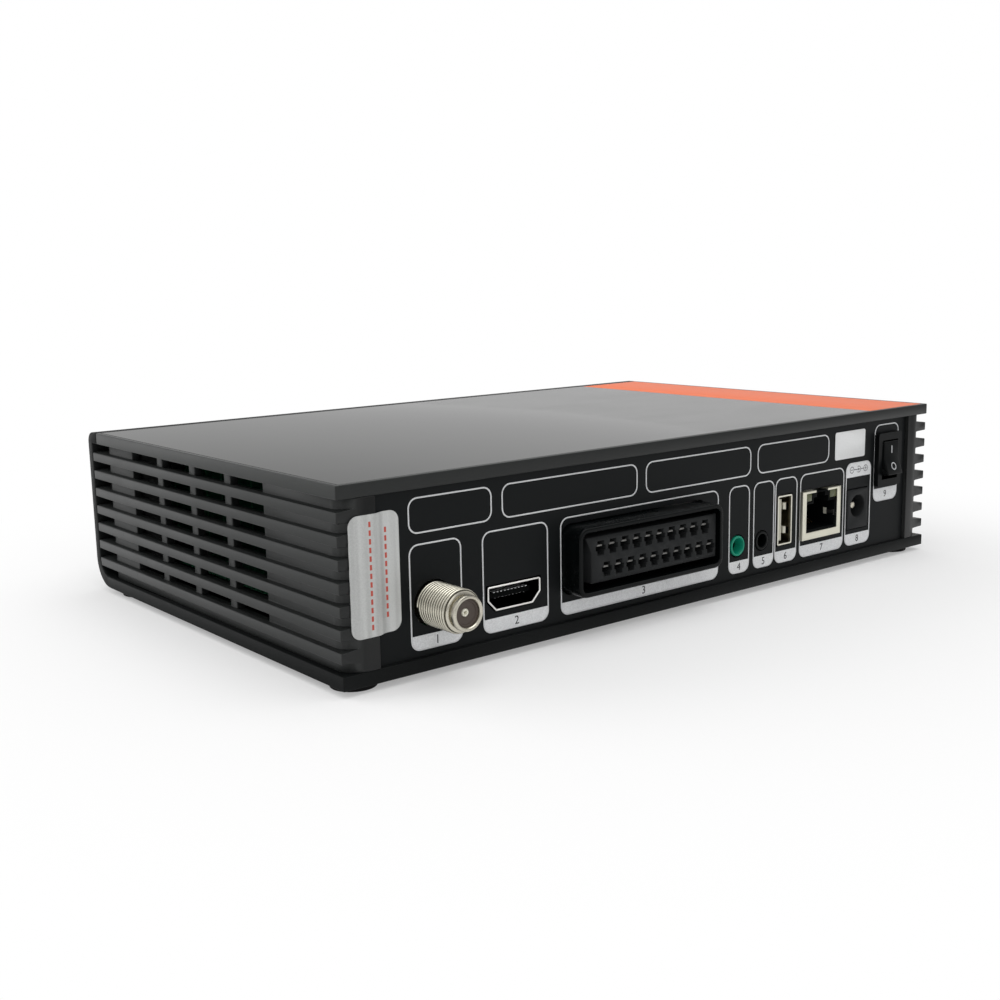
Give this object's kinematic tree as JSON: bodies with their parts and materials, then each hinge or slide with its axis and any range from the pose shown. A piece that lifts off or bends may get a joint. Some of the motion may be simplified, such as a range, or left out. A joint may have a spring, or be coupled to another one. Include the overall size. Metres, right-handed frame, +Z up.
{
  "type": "satellite television receiver",
  "caption": "Low satellite television receiver with louvred sides, a rear wall of aerial, video, data, network and power sockets, a rocker power switch and front keys.",
  "frame": {"origin": "middle of the footprint, sockets and keys included, on the surface that the feet stand on", "axes": "+Z up, +Y out of the rear wall of sockets, +X towards the side of the aerial socket; the front with the keys faces -Y"},
  "size_m": [0.2, 0.1352, 0.043],
  "materials": {
    "case_plastic": "satin",
    "lid_gloss": "gloss",
    "accent_orange": "satin",
    "louvre_plastic": "satin",
    "rear_wall_paint": "satin",
    "window_smoke": "gloss",
    "foot_rubber": "matte",
    "screw_steel": "satin",
    "board_laminate": "satin",
    "nickel": "polished",
    "tin_plate": "satin",
    "shell_steel": "satin",
    "socket_black": "matte",
    "insulator_black": "matte",
    "contact_brass": "satin",
    "av_green": "satin",
    "lamp_green": "satin",
    "tongue_white": "matte",
    "chip_epoxy": "matte",
    "sink_aluminium": "satin",
    "capacitor_sleeve": "satin",
    "ferrite": "matte",
    "crystal_can": "satin",
    "header_white": "matte",
    "lead_jacket": "satin",
    "ribbon_film": "satin",
    "key_gloss": "gloss",
    "switch_black": "satin",
    "sticker_silver": "satin",
    "sticker_white": "satin"
  },
  "bodies": {
    "case": {"accent_strip": "accent_orange", "aerial_insulator": "insulator_black", "aerial_socket": "nickel", "av_jack": "socket_black", "av_jack_sleeve": "av_green", "base_tray": "case_plastic", "board_screws": "screw_steel", "capacitors": "capacitor_sleeve", "case_screws": "screw_steel", "coils": "ferrite", "crystal": "crystal_can", "data_jack": "socket_black", "dc_pin": "nickel", "dc_socket": "socket_black", "decoder_chip": "chip_epoxy", "display_module": "socket_black", "ethernet_insert": "insulator_black", "ethernet_lamps": "lamp_green", "ethernet_shell": "shell_steel", "flash_chip": "chip_epoxy", "foot_front_left": "foot_rubber", "foot_front_right": "foot_rubber", "foot_rear_left": "foot_rubber", "foot_rear_right": "foot_rubber", "front_board": "board_laminate", "front_board_screws": "screw_steel", "front_window": "window_smoke", "hdmi_shell": "shell_steel", "hdmi_tongue": "insulator_black", "heat_sink": "sink_aluminium", "key_switches": "socket_black", "lid_inlay": "lid_gloss", "louvre_panel_left": "louvre_plastic", "louvre_panel_right": "louvre_plastic", "main_board": "board_laminate", "memory_chips": "chip_epoxy", "rating_label": "sticker_white", "rear_wall": "rear_wall_paint", "remote_receiver": "socket_black", "ribbon_cable": "ribbon_film", "ribbon_sockets": "header_white", "scart_contacts": "contact_brass", "scart_core": "insulator_black", "scart_shell": "socket_black", "seal_sticker": "sticker_silver", "status_lamp": "lamp_green", "switch_header": "header_white", "switch_housing": "switch_black", "switch_leads": "lead_jacket", "switch_terminals": "contact_brass", "top_cover": "case_plastic", "tuner_can": "tin_plate", "usb_shell": "shell_steel", "usb_tongue": "tongue_white"},
    "rocker": {"switch_rocker": "switch_black"},
    "key_standby": {"key_standby": "key_gloss"},
    "key_channel_down": {"key_channel_down": "key_gloss"},
    "key_channel_up": {"key_channel_up": "key_gloss"}
  },
  "joints": [
    {"name": "power_rocker", "type": "hinge", "parent": "case", "child": "rocker", "pos_m": [-0.08178, 0.05525, 0.0288], "axis": [-1, 0, 0], "range_deg": [0, 20]},
    {"name": "key_standby_press", "type": "slide", "parent": "case", "child": "key_standby", "axis": [0, 1, 0], "range_m": [0, 0.0005], "stiffness_N_per_m": 400},
    {"name": "key_channel_down_press", "type": "slide", "parent": "case", "child": "key_channel_down", "axis": [0, 1, 0], "range_m": [0, 0.0005], "stiffness_N_per_m": 400},
    {"name": "key_channel_up_press", "type": "slide", "parent": "case", "child": "key_channel_up", "axis": [0, 1, 0], "range_m": [0, 0.0005], "stiffness_N_per_m": 400}
  ]
}
